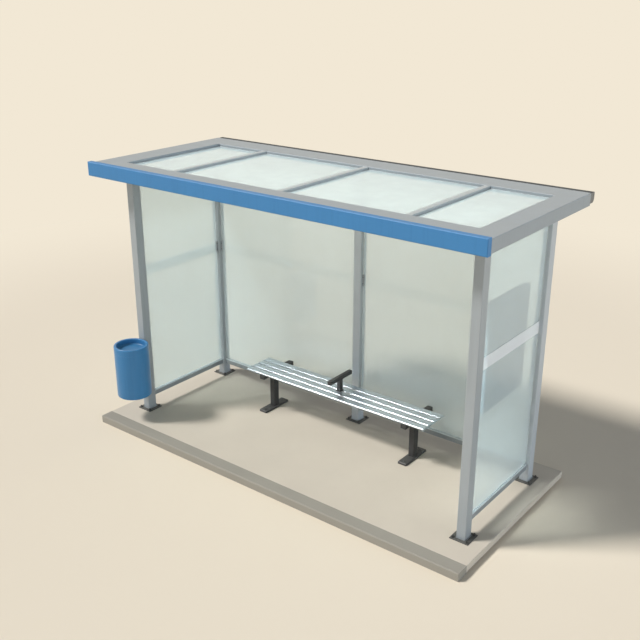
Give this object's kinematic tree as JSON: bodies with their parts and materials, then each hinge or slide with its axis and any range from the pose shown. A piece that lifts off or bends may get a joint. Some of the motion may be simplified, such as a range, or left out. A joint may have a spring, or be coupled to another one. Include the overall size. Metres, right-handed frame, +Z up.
{
  "type": "bus shelter",
  "caption": "Bus shelter on a concrete slab: steel posts, flat glazed roof with fascia and gutter, glass walls, slatted bench, blank notice case and litter bin.",
  "frame": {"origin": "on the ground, under the middle of the rectangle of posts", "axes": "+X along the shelter, from the bin's end to the notice case's end, +Y from the open front to the rear wall, +Z up"},
  "size_m": [4.015, 1.892, 2.509],
  "materials": {
    "slab_concrete": "pale trowelled concrete",
    "kerb_concrete": "darker cast concrete",
    "post_grey": "satin grey powder coat",
    "frame_grey": "satin light grey powder coat",
    "rail_grey": "satin grey powder coat",
    "gutter_grey": "satin dark grey paint",
    "fascia_blue": "satin blue paint",
    "bin_blue": "satin deep blue paint",
    "lid_blue": "satin lighter blue paint",
    "dark_paint": "satin charcoal paint",
    "slat_aluminium": "satin anodised aluminium",
    "case_grey": "satin blue-grey paint",
    "sheet_blank": "blank pale panel",
    "roof_glass": "pale translucent laminated glass",
    "wall_glass": "clear toughened glass with a green-grey tint",
    "band_film": "frosted film"
  },
  "bodies": {
    "root": {"armrest": "dark_paint", "base_plates": "dark_paint", "base_slab": "slab_concrete", "bench_bearers": "dark_paint", "bench_end_strips": "slat_aluminium", "bench_feet": "dark_paint", "bench_legs": "dark_paint", "bench_slat_1": "slat_aluminium", "bench_slat_2": "slat_aluminium", "bench_slat_3": "slat_aluminium", "bench_slat_4": "slat_aluminium", "bin_brackets": "dark_paint", "bin_lid": "lid_blue", "bin_rim": "bin_blue", "bin_shell": "bin_blue", "bottom_rail_left": "rail_grey", "bottom_rail_rear_left": "rail_grey", "bottom_rail_rear_right": "rail_grey", "bottom_rail_right": "rail_grey", "fascia_board": "fascia_blue", "glass_clamps": "dark_paint", "glazing_bars": "frame_grey", "gutter": "gutter_grey", "head_rails": "rail_grey", "info_case": "case_grey", "info_sheet": "sheet_blank", "kerb": "kerb_concrete", "post_front_left": "post_grey", "post_front_right": "post_grey", "post_rear_left": "post_grey", "post_rear_middle": "post_grey", "post_rear_right": "post_grey", "roof_front_member": "frame_grey", "roof_left_member": "frame_grey", "roof_pane_left_end": "roof_glass", "roof_pane_left_middle": "roof_glass", "roof_pane_right_end": "roof_glass", "roof_pane_right_middle": "roof_glass", "roof_rear_member": "frame_grey", "roof_right_member": "frame_grey", "safety_bands": "band_film", "wall_glass_left": "wall_glass", "wall_glass_rear_left": "wall_glass", "wall_glass_rear_right": "wall_glass", "wall_glass_right": "wall_glass"}
  },
  "joints": []
}
